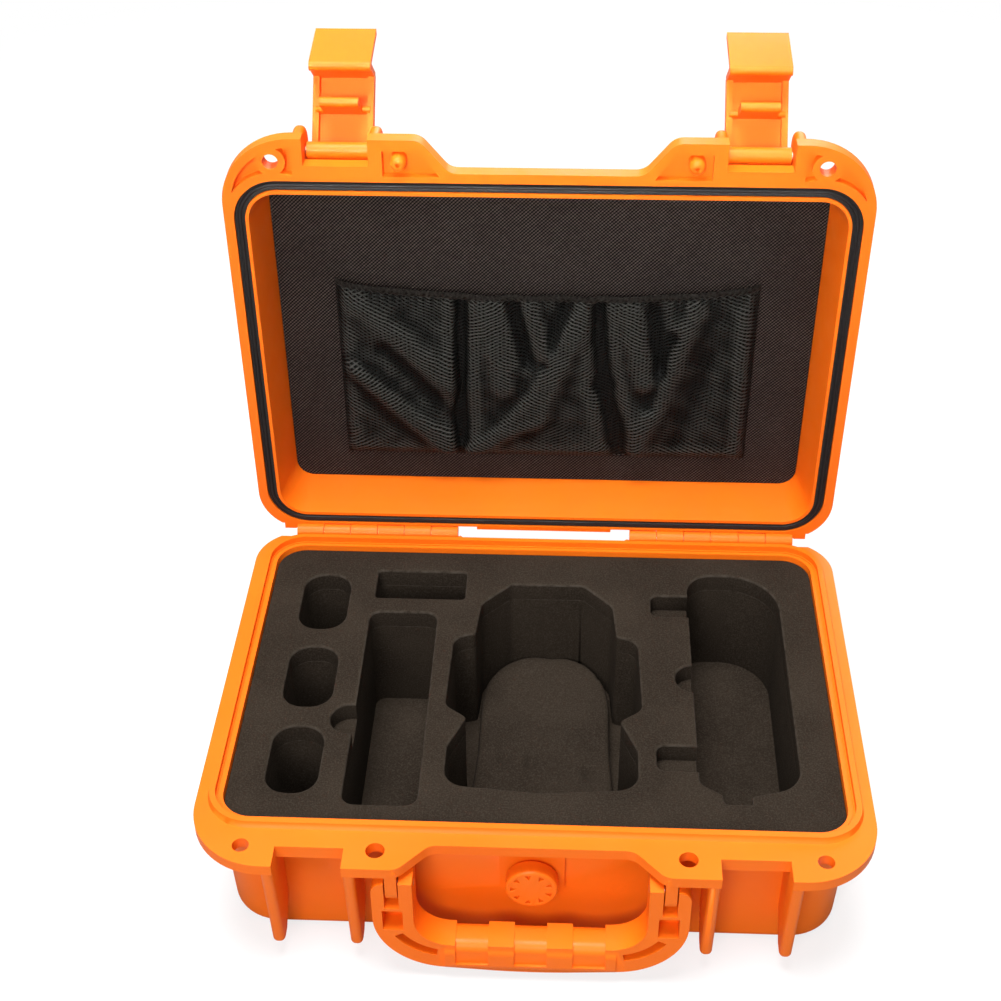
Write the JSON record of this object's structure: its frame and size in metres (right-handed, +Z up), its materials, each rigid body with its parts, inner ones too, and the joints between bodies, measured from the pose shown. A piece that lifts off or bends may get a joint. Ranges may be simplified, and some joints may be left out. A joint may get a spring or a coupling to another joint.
{
  "type": "drone carrying case",
  "caption": "Hard waterproof carrying case with a hinged lid, draw latches, swing handle, purge valve and a cut foam insert for a folding drone.",
  "frame": {"origin": "centre of the flat face that the base half stands on", "axes": "+Z up out of the open base, +X along the hinge to the right seen from the handle side, +Y from the handle side to the hinge side"},
  "size_m": [0.3, 0.2893, 0.3268],
  "materials": {
    "orange_shell": "moulded polypropylene, orange, lightly glossy",
    "foam": "closed-cell foam, charcoal, fine suede-like face",
    "liner": "woven nylon, black",
    "net": "open knitted net, black",
    "gasket": "black rubber, satin",
    "steel": "stainless rod"
  },
  "bodies": {
    "base": {"base_shell": "orange_shell", "base_floor": "orange_shell", "foam_top_sheet": "foam", "foam_core": "foam", "foam_base_sheet": "foam", "drone_bed_pad": "foam", "hinge_pin_left": "steel", "hinge_pin_right": "steel", "handle_pin_left": "steel", "handle_pin_right": "steel", "valve_bush": "orange_shell", "valve_lock_nut": "orange_shell"},
    "lid": {"lid_shell": "orange_shell", "lid_gasket": "gasket", "lid_liner_board": "foam", "lid_liner_fabric": "liner", "mesh_pocket": "net", "mesh_pocket_hem": "liner", "latch_pin_left": "steel", "latch_pin_right": "steel"},
    "latch_left": {"latch_left": "orange_shell"},
    "latch_right": {"latch_right": "orange_shell"},
    "handle": {"handle_frame": "orange_shell"},
    "valve": {"valve_knob": "orange_shell", "valve_stem": "steel"}
  },
  "joints": [
    {"name": "lid_hinge", "type": "hinge", "parent": "base", "child": "lid", "pos_m": [0, 0.1068, 0.0715], "axis": [-1, 0, 0], "range_deg": [-88.7, 0]},
    {"name": "latch_left_pivot", "type": "hinge", "parent": "lid", "child": "latch_left", "pos_m": [-0.096, 0.11426, 0.28942], "axis": [-1, 0, 0], "range_deg": [-137, 0]},
    {"name": "latch_right_pivot", "type": "hinge", "parent": "lid", "child": "latch_right", "pos_m": [0.096, 0.11426, 0.28942], "axis": [-1, 0, 0], "range_deg": [-137, 0]},
    {"name": "handle_pivot", "type": "hinge", "parent": "base", "child": "handle", "pos_m": [0, -0.1148, 0.0555], "axis": [-1, 0, 0], "range_deg": [0, 100]},
    {"name": "valve_turn", "type": "hinge", "parent": "base", "child": "valve", "pos_m": [0, -0.0973, 0.0435], "axis": [0, -1, 0], "range_deg": [0, 180]}
  ]
}
